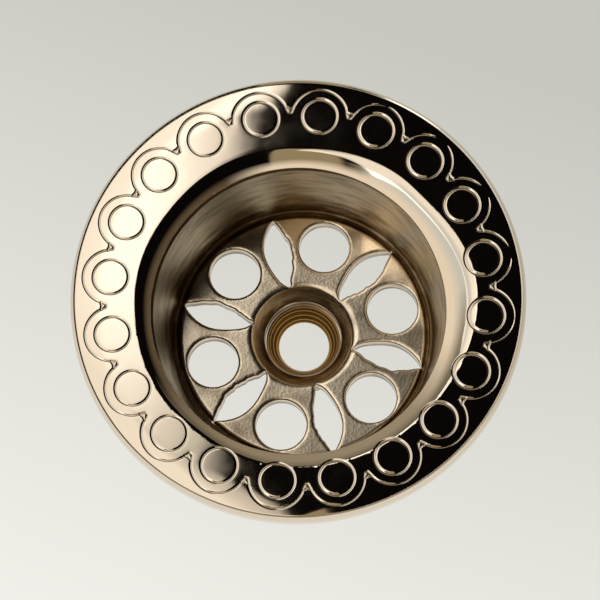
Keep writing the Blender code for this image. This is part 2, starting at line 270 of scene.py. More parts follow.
# Softbox over the left half of the table
SOFTBOX_WIDTH = 0.8
SOFTBOX_LENGTH = 1.52
SOFTBOX_MIDDLE = -0.24
SOFTBOX_HEIGHT = 0.827
SOFTBOX_STRENGTH = 1.6
# How its edge over the drain bends: between two places along it, by how much at the first and at the second
SOFTBOX_BENDS = (
    (0.14, 0.27, 0, -0.01),
    (-0.24, 0.14, 0.018, 0.05),
    (-0.28, -1, 0, 0.68),
)
# From its edge over the drain to its far side, in front of the drain and behind it
SOFTBOX_FRONT_STOPS = [
    (0, "#000000"),
    (0.012, "#9C988F"),
    (0.03, "#B3AEA5"),
    (0.055, "#BFBAB0"),
    (0.1, "#DAD5CB"),
    (0.45, "#DAD5CB"),
    (0.65, "#BDBDBA"),
    (1, "#B8B9B7"),
]
SOFTBOX_BACK_STOPS = [
    (0, "#000000"),
    (0.012, "#CDC8BF"),
    (0.035, "#F6F4EC"),
    (0.045, "#FFFFFA"),
    (0.07, "#FFFFF6"),
    (0.12, "#EAE6DC"),
    (0.45, "#E1DCD2"),
    (0.65, "#BDBDBA"),
    (1, "#B8B9B7"),
]
# Where the front gives way to the back
SOFTBOX_BLEND = (0.13, 0.21)

# The room seen round the horizon, from the front (0) over the left (0.25), back (0.5) and right (0.75)
WALL_STOPS = [
    (0, "#A29577"),
    (0.05, "#A29577"),
    (0.06, "#3A352C"),
    (0.08, "#8E8874"),
    (0.1, "#E4E8E4"),
    (0.28, "#DEE2DE"),
    (0.33, "#A5A092"),
    (0.37, "#807B6C"),
    (0.5, "#857E6B"),
    (0.58, "#6C6554"),
    (0.63, "#0A0807"),
    (0.965, "#0A0807"),
    (0.97, "#A29577"),
]
HIGH_STOPS = [
    (0, "#A29577"),
    (0.05, "#A29577"),
    (0.06, "#14110D"),
    (0.08, "#0A0807"),
    (0.965, "#0A0807"),
    (0.97, "#A29577"),
]
HORIZON_STOPS = [
    (0, "#FFF4E2"),
    (0.33, "#FFF4E2"),
    (0.4, "#A89F8C"),
    (0.55, "#9C927E"),
    (0.63, "#625644"),
    (0.9, "#625644"),
    (0.97, "#FFF4E2"),
]
# Rise over the horizon, as a sine, where walls give way to what is high, and to what is near the floor
HIGH_RISE = (0.69, 0.73)
HORIZON_RISE = (0.56, 0.26)

# Camera: a long lens, over the drain and a little in front
SENSOR = 36
PHOTO_SIDE = 600
FOCAL_PIXELS = 3780.4
CAMERA_PLACE = Vector((15.137, -116.866, 485.29)) * MM
CAMERA_TILT = 14.25
CAMERA_SWING = 1.8
CAMERA_REACH = 10


def srgb(hex_colour):
    """The linear colour of an sRGB hex value."""
    parts = [int(hex_colour[start : start + 2], 16) / 255 for start in (1, 3, 5)]
    linear = [part / 12.92 if part <= 0.04045 else ((part + 0.055) / 1.055) ** 2.4 for part in parts]
    return (*linear, 1)


def place(turn, radius):
    """A point at this turn, in degrees clockwise from +Y, seen from above."""
    angle = math.radians(turn)
    return radius * math.sin(angle), radius * math.cos(angle)


def deselect():
    """Leaves edit mode, with nothing selected."""
    if bpy.context.object and bpy.context.object.mode == "EDIT":
        bpy.ops.object.mode_set(mode="OBJECT")
    bpy.ops.object.select_all(action="DESELECT")


def select_only(*objects):
    """Selects these objects alone. The first is the active one."""
    deselect()
    for obj in objects:
        obj.select_set(True)
    bpy.context.view_layer.objects.active = objects[0]


def joined(*objects):
    """All the objects as one, the first."""
    select_only(*objects)
    bpy.ops.object.join()
    return objects[0]


def merge_points(threshold):
    """Merges the active mesh's doubles and turns its faces outwards."""
    bpy.ops.object.mode_set(mode="EDIT")
    bpy.ops.mesh.select_all(action="SELECT")
    bpy.ops.mesh.remove_doubles(threshold=threshold)
    bpy.ops.mesh.normals_make_consistent(inside=False)
    bpy.ops.object.mode_set(mode="OBJECT")


def turned(name, profile, steps, closed=True):
    """A profile of (radius, height) points drawn point by point with extrude and spun round the Z axis."""
    deselect()
    bpy.ops.mesh.primitive_plane_add(size=MM)
    obj = bpy.context.object
    obj.name = name
    bpy.ops.object.mode_set(mode="EDIT")
    bpy.ops.mesh.merge(type="CENTER")
    bpy.ops.transform.translate(value=(profile[0][0], 0, profile[0][1]))
    ends = profile[1:] + profile[:1] if closed else profile[1:]
    for (radius, height), (last_radius, last_height) in zip(ends, profile):
        move = {"value": (radius - last_radius, 0, height - last_height)}
        bpy.ops.mesh.extrude_region_move(TRANSFORM_OT_translate=move)
    bpy.ops.mesh.select_all(action="SELECT")
    bpy.ops.mesh.remove_doubles(threshold=MERGE)
    bpy.ops.mesh.spin(steps=steps, angle=FULL_TURN, center=(0, 0, 0), axis=(0, 0, 1))
    bpy.ops.mesh.select_all(action="SELECT")
    bpy.ops.mesh.remove_doubles(threshold=MERGE)
    if closed:
        bpy.ops.mesh.normals_make_consistent(inside=False)
    bpy.ops.object.mode_set(mode="OBJECT")
    return obj


def soft_corner(before, corner, after, size):
    """Points of a soft curve that takes the place of a corner, this far along each side."""
    corner = Vector(corner)
    start = (Vector(before) - corner).normalized() * size
    end = (Vector(after) - corner).normalized() * size
    points = []
    for step in range(CORNER_STEPS + 1):
        share = step / CORNER_STEPS
        points.append(tuple(corner + start * (1 - share) ** 2 + end * share**2))
    return points


def softened(corners):
    """The profile through corners of (radius, height, softening)."""
    profile = []
    for index, (radius, height, size) in enumerate(corners):
        if not size:
            profile.append((radius, height))
            continue
        before = corners[index - 1][:2]
        after = corners[(index + 1) % len(corners)][:2]
        profile += soft_corner(before, (radius, height), after, size)
    return profile


def smooth(obj, angle):
    """Smooth shading, but for edges sharper than this angle."""
    select_only(obj)
    bpy.ops.object.shade_smooth_by_angle(angle=math.radians(angle))


def cut_out(obj, cutters, name):
    """Puts a modifier on the object that takes the joined cutters out of it, and gives back the cutter."""
    cutter = joined(*cutters)
    boolean = obj.modifiers.new(name, "BOOLEAN")
    boolean.object = cutter
    boolean.solver = "EXACT"
    boolean.operation = "DIFFERENCE"
    return cutter


def apply_modifiers(obj, cutter):
    """Applies all of the object's modifiers and takes the cutter away."""
    select_only(obj)
    for modifier in list(obj.modifiers):
        bpy.ops.object.modifier_apply(modifier=modifier.name)
    bpy.data.objects.remove(cutter, do_unlink=True)


# Flange


def from_table(table, turn):
    """A value between those that a table gives for the eight main turns."""
    place_in_table = turn / TABLE_TURN % len(table)
    index = int(place_in_table)
    share = 0.5 - 0.5 * math.cos(math.pi * (place_in_table - index))
    return table[index] * (1 - share) + table[(index + 1) % len(table)] * share


def roll_start(turn):
    """Radius where the flat border starts to roll into the funnel."""
    return from_table(ROLL_STARTS, turn) * MM


def roll_end(turn):
    """Radius where the roll ends, on its circle off centre."""
    sine, cosine = place(turn, 1)
    return math.sqrt(FUNNEL_RADIUS**2 - (FUNNEL_SHIFT * sine) ** 2) - FUNNEL_SHIFT * cosine


def roll_curve(turn):
    """The roll's points (radius, drop below the top) at this turn, from the flat border to its end."""
    start = roll_start(turn)
    step = (start - roll_end(turn)) / ROLL_STEPS
    steepest = ROLL_STEEPEST + ROLL_LEAN * math.cos(math.radians(turn))
    power = from_table(ROLL_POWERS, turn)
    points = [(start, 0)]
    for index in range(ROLL_STEPS):
        slope = math.radians(steepest * ((index + 0.5) / ROLL_STEPS) ** power)
        points.append((start - step * (index + 1), points[-1][1] + step * math.tan(slope)))
    return points


def flange_height(x, y):
    """Height of the flange's top without its engraving."""
    radius = math.hypot(x, y)
    turn = math.degrees(math.atan2(x, y)) % 360
    start = roll_start(turn)
    if radius < start:
        curve = roll_curve(turn)
        place_on_curve = min((start - radius) / (start - curve[-1][0]), 1) * ROLL_STEPS
        index = min(int(place_on_curve), ROLL_STEPS - 1)
        share = place_on_curve - index
        return FLANGE_TOP - curve[index][1] * (1 - share) - curve[index + 1][1] * share
    if radius > CROWN_RADIUS:
        share = (radius - CROWN_RADIUS) / (CROWN_REACH - CROWN_RADIUS)
        return FLANGE_TOP - CROWN_FALL * share**CROWN_POWER
    return FLANGE_TOP


def roll_section(turn):
    """The funnel's section at this turn, from the border down to the spigot's end, in shared rows."""
    start = roll_start(turn)
    dense = [Vector((BORDER_INNER, flange_height(*place(turn, BORDER_INNER))))]
    if start < BORDER_INNER:
        dense.append(Vector(((start + BORDER_INNER) / 2, FLANGE_TOP)))
    for radius, drop in roll_curve(turn):
        if radius < min(BORDER_INNER, start) - MERGE:
            dense.append(Vector((radius, FLANGE_TOP - drop)))
    foot = Vector((LIP_RADIUS, SPIGOT_END))
    end = dense[-1]
    dense += [end.lerp(foot, step / THROAT_STEPS) for step in range(1, THROAT_STEPS + 1)]
    lengths = [0]
    for before, after in zip(dense, dense[1:]):
        lengths.append(lengths[-1] + (after - before).length)
    to_lip = lengths[-1 - THROAT_STEPS]
    upper_rows = ROLL_ROWS - THROAT_ROWS
    wanted = [to_lip * row / upper_rows for row in range(upper_rows + 1)]
    wanted += [to_lip + (lengths[-1] - to_lip) * row / THROAT_ROWS for row in range(1, THROAT_ROWS + 1)]
    rows = []
    index = 1
    for length in wanted:
        while lengths[index] < length - MERGE / 10 and index < len(dense) - 1:
            index += 1
        share = (length - lengths[index - 1]) / (lengths[index] - lengths[index - 1])
        rows.append(dense[index - 1].lerp(dense[index], min(share, 1)))
    return rows


def groove(distance, width, depth):
    """A round-bottomed groove with worn shoulders."""
    worn = SHOULDER_DEPTH * math.exp(-distance / SHOULDER_WIDTH)
    if distance > width / 2:
        return -worn
    return -worn - depth * (0.5 + 0.5 * math.cos(math.pi * distance / (width / 2)))


def to_segment(point, start, end):
    """Distance from the point to a straight line between two points."""
    along = end - start
    share = max(0, min(1, (point - start).dot(along) / along.length_squared))
    return (point - start - along * share).length


def engraving(x, y, wear, cut):
    """Depth of the engraving in the tile round a ring at turn zero. Its two sides mirror each other."""
    point = Vector((abs(x), y))
    centre = Vector((0, RING_CIRCLE))
    reach = (point - centre).length
    side = DISC_SIDE_WIDTH if reach < RING_RADIUS else OTHER_SIDE_WIDTH
    ring = groove(abs(reach - RING_RADIUS), RING_GROOVE_WIDTH * side * cut, RING_GROOVE_DEPTH * cut)
    turn = math.degrees(math.atan2(point.x, point.y - centre.y))
    if turn < SCALLOP_END:
        to_line = abs(reach - SCALLOP_RADIUS)
    else:
        to_line = (point - centre - Vector(place(SCALLOP_END, SCALLOP_RADIUS))).length
    left = 1 - wear * max(0, 1 - turn / WEAR_REACH) ** 0.5
    scallop = groove(to_line, SCALLOP_GROOVE_WIDTH, SCALLOP_GROOVE_DEPTH) * left
    tip = MARK_ALONG * MARK_INNER
    tip_corner = tip + MARK_ACROSS * MARK_TIP_HALF_WIDTH
    corner = MARK_ALONG * MARK_OUTER + MARK_ACROSS * MARK_HALF_WIDTH
    middle = MARK_ALONG * (MARK_OUTER - MARK_DIP)
    to_mark = min(
        to_segment(point, middle, corner),
        to_segment(point, tip_corner, corner),
        to_segment(point, tip, tip_corner),
    )
    mark = groove(to_mark, MARK_GROOVE_WIDTH, MARK_GROOVE_DEPTH)
    return min(ring, scallop, mark)


def from_side(point):
    """How far a point of the plan lies from the tile's nearer straight side."""
    return (HALF_PITCH - abs(math.atan2(point.x, point.y))) * point.length


def near_mark(point, margin):
    """Whether a point lies in the field of fine points round the mark."""
    low = MARK_INNER - FIELD_INWARD - margin
    high = MARK_INNER + FIELD_OUTWARD + margin
    return from_side(point) < (FIELD_COLUMNS + 0.5) * FIELD_STEP + margin and low < point.length < high


def tile_points():
    """Plan of one tile: points close together along its lines and wide apart between them."""
    centre = Vector((0, RING_CIRCLE))
    points = []
    circles = {RING_RADIUS + side * offset * MM for offset in RING_ROWS for side in (-1, 1)}
    for radius in sorted(circles):
        for step in range(RING_POINTS):
            points.append(centre + Vector(place(step * 360 / RING_POINTS, radius)))
    circles = {SCALLOP_RADIUS + side * offset * MM for offset in SCALLOP_ROWS for side in (-1, 1)}
    for radius in sorted(circles):
        for step in range(-SCALLOP_POINTS, SCALLOP_POINTS + 1):
            points.append(centre + Vector(place(step * SCALLOP_POINT_TURN, radius)))
    points = [point for point in points if not near_mark(point, LINE_CLEARANCE)]
    for row in range(FIELD_ROWS):
        for column in range(1, FIELD_COLUMNS + 1):
            along = MARK_ALONG * (MARK_INNER - FIELD_FIRST_ROW + row * FIELD_STEP)
            point = along + MARK_ACROSS * column * FIELD_STEP
            if near_mark(point, 0):
                points.append(point)
                points.append(Vector((-point.x, point.y)))
    radius = BORDER_INNER
    while radius < BORDER_OUTER:
        for turn in range(-BORDER_COLUMNS, BORDER_COLUMNS + 1):
            point = Vector(place(turn, radius))
            reach = (point - centre).length
            in_ring = abs(reach - RING_RADIUS) < RING_CLEARANCE
            in_scallop = abs(reach - SCALLOP_RADIUS) < SCALLOP_CLEARANCE and point.length > MARK_INNER
            if not in_ring and not in_scallop and not near_mark(point, FIELD_CLEARANCE):
                points.append(point)
        radius += BORDER_STEP / 2 if radius < FINE_ROWS_END else BORDER_STEP
    inside = []
    for point in points:
        between_arcs = BORDER_INNER + ARC_CLEARANCE < point.length < BORDER_OUTER - ARC_CLEARANCE
        if between_arcs and from_side(point) > SIDE_CLEARANCE:
            inside.append(point)
    return inside


def tile_edge():
    """The tile's outline: two arcs and two straight sides, with the same points on both sides."""
    half_turn = 180 / RING_COUNT
    radii = []
    radius = BORDER_INNER
    while radius < BORDER_OUTER - MERGE:
        radii.append(radius)
        near = MARK_INNER - FINE_SIDE_REACH < radius < MARK_OUTER + FINE_SIDE_REACH
        radius += FIELD_STEP if near else SIDE_STEP
    radii.append(BORDER_OUTER)
    steps = FLANGE_STEPS // RING_COUNT
    turns = [half_turn * (1 - 2 * step / steps) for step in range(1, steps)]
    outline = [Vector(place(half_turn, radius)) for radius in radii]
    outline += [Vector(place(turn, BORDER_OUTER)) for turn in turns]
    outline += [Vector(place(-half_turn, radius)) for radius in reversed(radii)]
    outline += [Vector(place(-turn, BORDER_INNER)) for turn in turns]
    return outline


def make_border():
    """Twenty tiles of engraved border, raised to the flange's top."""
    outline = tile_edge()
    points = outline + tile_points()
    edges = [(index, (index + 1) % len(outline)) for index in range(len(outline))]
    plan = [point / MM for point in points]
    verts, _, faces, *_ = delaunay_2d_cdt(plan, edges, [], INSIDE_ONLY, PLAN_MERGE)
    shape = bmesh.new()
    for index in range(RING_COUNT):
        turn = -math.radians(FIRST_RING_TURN + index * 360 / RING_COUNT)
        made = []
        for point in verts:
            x, y = point.x * MM, point.y * MM
            depth = engraving(x, y, SCALLOP_WEAR[index], RING_CUTS[index])
            turned_x = x * math.cos(turn) - y * math.sin(turn)
            turned_y = x * math.sin(turn) + y * math.cos(turn)
            made.append(shape.verts.new((turned_x, turned_y, flange_height(turned_x, turned_y) + depth)))
        for face in faces:
            shape.faces.new([made[corner] for corner in face])
    mesh = bpy.data.meshes.new("flange_border")
    shape.to_mesh(mesh)
    shape.free()
    border = bpy.data.objects.new("flange_border", mesh)
    bpy.context.scene.collection.objects.link(border)
    return border


def make_rim():
    """Crown, bead and edge, and under them the hidden underside and the spigot."""
    crown = []
    for step in range(CROWN_STEPS + 1):
        radius = BORDER_OUTER + (CROWN_REACH - BORDER_OUTER) * step / CROWN_STEPS
        crown.append((radius, flange_height(0, radius)))
    below = softened(
        [
            (*crown[-1], 0),
            (CROWN_REACH + CREASE_WIDTH, crown[-1][1] - CREASE_DEPTH, 0.03 * MM),
            (CROWN_REACH + BEAD_START, FLANGE_TOP - BEAD_DROP, 0.05 * MM),
            (FLANGE_RADIUS, FLANGE_TOP - EDGE_WIDEST, EDGE_ROUNDING),
            (FLANGE_RADIUS, RIM_UNDERSIDE, EDGE_ROUNDING),
            (FLANGE_RADIUS - RIM_WIDTH, RIM_UNDERSIDE, 0.2 * MM),
            (FLANGE_RADIUS - RIM_WIDTH, FLANGE_UNDERSIDE, 0),
            (THREAD_RADIUS, FLANGE_UNDERSIDE, 0),
            (THREAD_RADIUS, SHOULDER_HEIGHT, 0),
            (SPIGOT_RADIUS, SHOULDER_HEIGHT, 0),
            (SPIGOT_RADIUS, SPIGOT_END, 0),
            (LIP_RADIUS, SPIGOT_END, 0),
        ]
    )
    return turned("flange_body", crown[:-1] + below, FLANGE_STEPS, closed=False)


def make_roll():
    """The polished funnel: rows of points all round, each then put on the section at its turn."""
    rows = [(BORDER_INNER - row * ROW_NUMBERING, FLANGE_TOP) for row in range(ROLL_ROWS + 1)]
    roll = turned("flange_roll", rows, FLANGE_STEPS, closed=False)
    sections = {}
    shape = bmesh.new()
    shape.from_mesh(roll.data)
    for vert in shape.verts:
        turn = round(math.degrees(math.atan2(vert.co.x, vert.co.y))) % 360
        if turn not in sections:
            sections[turn] = roll_section(turn)
        radius = math.hypot(vert.co.x, vert.co.y)
        new_radius, height = sections[turn][round((BORDER_INNER - radius) / ROW_NUMBERING)]
        vert.co.x *= new_radius / radius
        vert.co.y *= new_radius / radius
        vert.co.z = height
    shape.to_mesh(roll.data)
    shape.free()
    return roll


def make_flange():
    """The flange: rim, funnel and engraved border, merged where they meet."""
    flange = joined(make_rim(), make_roll(), make_border())
    flange.name = "polished_flange"
    merge_points(2 * MERGE)
    smooth(flange, 60)
    return flange


# Cup, grid and bush


def make_cup():
    """The cup: a threaded outside, and a wall that tapers to a bead over the grid."""
    ledge = seal_low.z - FIT_GAP
    rows = int(THREAD_TOP / (THREAD_PITCH / THREAD_ROWS))
    outside = [(THREAD_RADIUS - CUP_CHAMFER, CUP_TOP)]
    outside += [(THREAD_RADIUS, CUP_TOP - CUP_CHAMFER), (THREAD_RADIUS, COLLAR_FOOT)]
    outside += [(THREAD_RADIUS, THREAD_TOP * (1 - row / rows)) for row in range(rows)]
    outside += [(THREAD_RADIUS - FOOT_CHAMFER, 0), (SEAT_RADIUS, 0)]
    wall = []
    for step in range(WALL_STEPS + 1):
        share = 1 - step / WALL_STEPS
        wall.append((WALL_RADIUS - WALL_TAPER * share**2, ledge - share * (ledge - SEAT_BEAD_TOP)))
    wall += [(LEDGE_RADIUS, ledge), (LEDGE_RADIUS, CUP_TOP)]
    seat = (SEAT_RADIUS, SEAT_BEAD_FOOT)
    bead_foot = (SEAT_BEAD_RADIUS, SEAT_BEAD_FOOT)
    bead_top = (SEAT_BEAD_RADIUS, SEAT_BEAD_TOP)
    bead = soft_corner(seat, bead_foot, bead_top, SEAT_BEAD_ROUNDING)
    bead += soft_corner(bead_foot, bead_top, wall[0], SEAT_BEAD_ROUNDING)
    cup = turned("cast_cup", outside + [seat] + bead + wall, CUP_STEPS)
    shape = bmesh.new()
    shape.from_mesh(cup.data)
    for vert in shape.verts:
        reach = math.hypot(vert.co.x, vert.co.y)
        if reach < THREAD_RADIUS - THREAD_SKIN or not THREAD_FOOT < vert.co.z < THREAD_TOP:
            continue
        turn = math.atan2(vert.co.y, vert.co.x) / FULL_TURN
        phase = (vert.co.z / THREAD_PITCH - turn) % 1
        ends = min(1, (THREAD_TOP - vert.co.z) / THREAD_RUN, vert.co.z / THREAD_RUN)
        cut = THREAD_DEPTH * ends * (0.5 - 0.5 * math.cos(FULL_TURN * phase))
        vert.co.x *= (reach - cut) / reach
        vert.co.y *= (reach - cut) / reach
    shape.to_mesh(cup.data)
    shape.free()
    smooth(cup, 50)
    return cup


def leaf_outline(turn):
    """The leaf's outline as (radius, turn) points: one clean edge, and one with flash on it."""
    length = LEAF_OUTER - LEAF_INNER
    clean = [(LEAF_INNER + share * length, edge) for share, edge, _ in LEAF_SHARES]
    rough = []
    for step in range(1, LEAF_STEPS):
        share = step / LEAF_STEPS
        after = next((index for index, row in enumerate(LEAF_SHARES) if row[0] > share), len(LEAF_SHARES))
        before = LEAF_SHARES[after - 1] if after else (0, 0, LEAF_TIPS[0])
        beyond = LEAF_SHARES[after] if after < len(LEAF_SHARES) else (1, 0, LEAF_TIPS[1])
        part = (share - before[0]) / (beyond[0] - before[0])
        radius = LEAF_INNER + share * length
        waves = math.sin(step * FLASH_WAVE + turn) * math.sin(step * FLASH_SLOW_WAVE + 2 * turn)
        ragged = waves * math.sin(math.pi * share)
        edge = before[2] + (beyond[2] - before[2]) * part
        rough.append((radius, edge - math.degrees(LEAF_FLASH * ragged / radius)))
    inner_tip = (LEAF_INNER, LEAF_TIPS[0])
    outer_tip = (LEAF_OUTER, LEAF_TIPS[1])
    return [inner_tip, *clean, outer_tip, *reversed(rough)]


def leaf_cutter(turn):
    """A leaf slot as a closed curve, extruded and made a mesh."""
    outline = leaf_outline(turn)
    curve = bpy.data.curves.new("leaf", "CURVE")
    curve.dimensions = "2D"
    curve.fill_mode = "BOTH"
    curve.extrude = CUTTER_REACH
    curve.resolution_u = 8
    spline = curve.splines.new("BEZIER")
    spline.bezier_points.add(len(outline) - 1)
    spline.use_cyclic_u = True
    for point, (radius, edge) in zip(spline.bezier_points, outline):
        kind = "VECTOR" if edge in LEAF_TIPS else "AUTO"
        point.co = (*place(edge + turn, radius), 0)
        point.handle_left_type = kind
        point.handle_right_type = kind
    cutter = bpy.data.objects.new("leaf", curve)
    cutter.location.z = GRID_MIDDLE
    bpy.context.scene.collection.objects.link(cutter)
    select_only(cutter)
    bpy.ops.object.convert(target="MESH")
    bpy.ops.object.transform_apply(location=True, rotation=True, scale=True)
    merge_points(MERGE)
    return bpy.context.object


def make_grid():
    """The grid: a stepped plate with a coned hub, pierced, then softened all over like a cleaned casting."""
    profile = softened(
        [
            (FACE_RADIUS, GRID_TOP, 0.25 * MM),
            (FACE_RADIUS, GRID_TOP - FACE_STEP, 0),
            (PLATE_RADIUS, GRID_TOP - FACE_STEP, 0),
            (PLATE_RADIUS, GRID_UNDERSIDE, 0.2 * MM),
            (BOSS_RADIUS, GRID_UNDERSIDE, 0),
            (BOSS_RADIUS, 0, 0.2 * MM),
            (HUB_BORE, 0, 0),
            (HUB_BORE, HUB_STOP_FOOT, 0),
            (HUB_STOP_RADIUS, HUB_STOP_FOOT, 0),
            (HUB_STOP_RADIUS, GRID_TOP - HUB_DEPTH, 0.25 * MM),
            (HUB_MOUTH, GRID_TOP, 0.4 * MM),
        ]
    )
    grid = turned("cast_grid", profile, GRID_STEPS)
    cutters = []
    for index in range(HOLE_COUNT):
        turn = index * 360 / HOLE_COUNT
        centre = place(FIRST_HOLE_TURN + turn, HOLE_CIRCLE)
        deselect()
        bpy.ops.mesh.primitive_cylinder_add(
            vertices=HOLE_POINTS,
            radius=HOLE_RADIUS,
            depth=2 * CUTTER_REACH,
            location=(*centre, GRID_MIDDLE),
        )
        cutters.append(bpy.context.object)
        cutters.append(leaf_cutter(turn))
    cutter = cut_out(grid, cutters, "pierced")
    remesh = grid.modifiers.new("casting", "REMESH")
    remesh.mode = "VOXEL"
    remesh.voxel_size = CASTING_VOXEL
    soften = grid.modifiers.new("softened", "SMOOTH")
    soften.factor = 0.5
    soften.iterations = CASTING_SOFTENING
    apply_modifiers(grid, cutter)
    smooth(grid, 180)
    return grid


def make_bush():
    """The tapped bush: a thin ring whose coned bore keeps the ridges of its thread."""
    top = bush_high.z
    profile = [(bush_high.x, top), (bush_high.x, 0)]
    for step in range(BORE_STEPS + 1):
        share = step / BORE_STEPS
        radius = BORE_FOOT_RADIUS + (BORE_TOP_RADIUS - BORE_FOOT_RADIUS) * share
        fade = min(1, share * RIDGE_FADE, (1 - share) * RIDGE_FADE)
        ridge = RIDGE_HEIGHT * math.cos(FULL_TURN * share * RIDGE_COUNT) * fade
        profile.append((radius - ridge, top * share))
    bush = turned("tapped_bush", profile, BUSH_STEPS)
    smooth(bush, 60)
    return bush


# Seals, washers and nut


def flat_ring(name, low, high, bore, outer_edge, inner_edge, steps):
    """A flat ring of a soft material, its outer and inner edges softened."""
    profile = softened(
        [
            (high.x, high.z, outer_edge),
            (high.x, low.z, outer_edge),
            (bore, low.z, inner_edge),
            (bore, high.z, inner_edge),
        ]
    )
    ring = turned(name, profile, steps)
    smooth(ring, 60)
    return ring


def make_seal():
    """The thin fibre seal at the lip, between flange and cup."""
    return flat_ring("fibre_seal", seal_low, seal_high, LIP_RADIUS, 0.1 * MM, 0.15 * MM, SEAL_STEPS)


def make_gasket():
    """The foam gasket under the flange, rounder at its outer edge."""
    low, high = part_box("flange_gasket")
    return flat_ring("foam_gasket", low, high, CLAMP_BORE, 0.35 * MM, 0.2 * MM, WASHER_STEPS)


def make_rubber_washer():
    """The rubber washer, bevelled so that it centres in the basin's outlet."""
    low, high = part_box("rubber_washer")
    profile = softened(
        [
            (BEVEL_RADIUS, high.z, 0.2 * MM),
            (high.x, low.z + BEVEL_FOOT, 0.4 * MM),
            (high.x, low.z, 0.3 * MM),
            (CLAMP_BORE, low.z, 0.2 * MM),
            (CLAMP_BORE, high.z, 0.2 * MM),
        ]
    )
    washer = turned("bevelled_rubber", profile, WASHER_STEPS)
    smooth(washer, 50)
    return washer


def make_slip_washer():
    """The thin slip washer between the rubber and the nut."""
    low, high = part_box("friction_washer")
    return flat_ring("slip_washer", low, high, CLAMP_BORE, 0.15 * MM, 0.1 * MM, WASHER_STEPS)


def make_nut():
    """The ring nut: a turned ring with six shallow slots milled for a spanner, its edges broken."""
    low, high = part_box("ring_nut")
    profile = [
        (NUT_RADIUS - NUT_CHAMFER, high.z),
        (NUT_RADIUS, high.z - NUT_CHAMFER),
        (NUT_RADIUS, low.z + NUT_CHAMFER),
        (NUT_RADIUS - NUT_CHAMFER, low.z),
        (CLAMP_BORE + NUT_CHAMFER, low.z),
        (CLAMP_BORE, low.z + NUT_CHAMFER),
        (CLAMP_BORE, high.z - NUT_CHAMFER),
        (CLAMP_BORE + NUT_CHAMFER, high.z),
    ]
    nut = turned("turned_nut", profile, WASHER_STEPS)
    cutters = []
    for index in range(NUT_SLOTS):
        turn = FIRST_SLOT_TURN + index * 360 / NUT_SLOTS
        deselect()
        bpy.ops.mesh.primitive_cube_add(size=1, location=(*place(turn, NUT_RADIUS), (low.z + high.z) / 2))
        slot = bpy.context.object
        slot.scale = SLOT_BOX
        slot.rotation_euler.z = -math.radians(turn)
        bpy.ops.object.transform_apply(location=True, rotation=True, scale=True)
        cutters.append(slot)
    cutter = cut_out(nut, cutters, "milled")
    bevel = nut.modifiers.new("broken_edges", "BEVEL")
    bevel.width = 0.12 * MM
    bevel.segments = 2
    bevel.limit_method = "ANGLE"
    bevel.angle_limit = math.radians(35)
    apply_modifiers(nut, cutter)
    smooth(nut, 40)
    return nut


# Materials


def add(tree, kind, inputs=None, **settings):
    """Adds a node with its settings. An input is a value, or an output that is linked to it."""
    node = tree.nodes.new(kind)
    for name, value in settings.items():
        setattr(node, name, value)
    for name, value in (inputs or {}).items():
        if isinstance(value, bpy.types.NodeSocket):
            tree.links.new(value, node.inputs[name])
        else:
            node.inputs[name].default_value = value
    return node


def set_stops(ramp, stops):
    """Gives a colour ramp these stops of (place, hex colour)."""
    elements = ramp.color_ramp.elements
    while len(elements) < len(stops):
        elements.new(1)
    # Every place comes before any colour, because a stop that moves can change the order
    for element, (at, _) in zip(elements, stops):
        element.position = at
    for element, (_, colour) in zip(elements, stops):
        element.color = srgb(colour)


def new_material(name):
    """A material of this name and its empty node tree."""
    material = bpy.data.materials.new(name)
    material.use_nodes = True
    material.node_tree.nodes.clear()
    return material, material.node_tree


def polished_nickel():
    """Nickel plate on buffed brass: a warm mirror, faintly wavy, with small duller stains."""
    material, tree = new_material("polished_nickel_plate")
    where = add(tree, "ShaderNodeTexCoord").outputs["Object"]
    stain = add(tree, "ShaderNodeTexNoise", {"Vector": where, "Scale": 1 / (3 * MM), "Detail": 4})
    roughness = add(
        tree,
        "ShaderNodeMapRange",
        {
            "Value": stain.outputs["Fac"],
            "From Min": 0.35,
            "From Max": 0.75,
            "To Min": 0.03,
            "To Max": 0.06,
        },
    )
    waves = add(tree, "ShaderNodeTexNoise", {"Vector": where, "Scale": 1 / (6 * MM), "Detail": 2})
    bump = add(
        tree,
        "ShaderNodeBump",
        {"Height": waves.outputs["Fac"], "Strength": 0.02, "Distance": 0.25 * MM},
    )
    shader = add(
        tree,
        "ShaderNodeBsdfPrincipled",
        {
            "Base Color": srgb("#E4D7C6"),
            "Metallic": 1,
            "Roughness": roughness.outputs[0],
            "Normal": bump.outputs[0],
        },
    )
    add(tree, "ShaderNodeOutputMaterial", {"Surface": shader.outputs[0]})
    return material


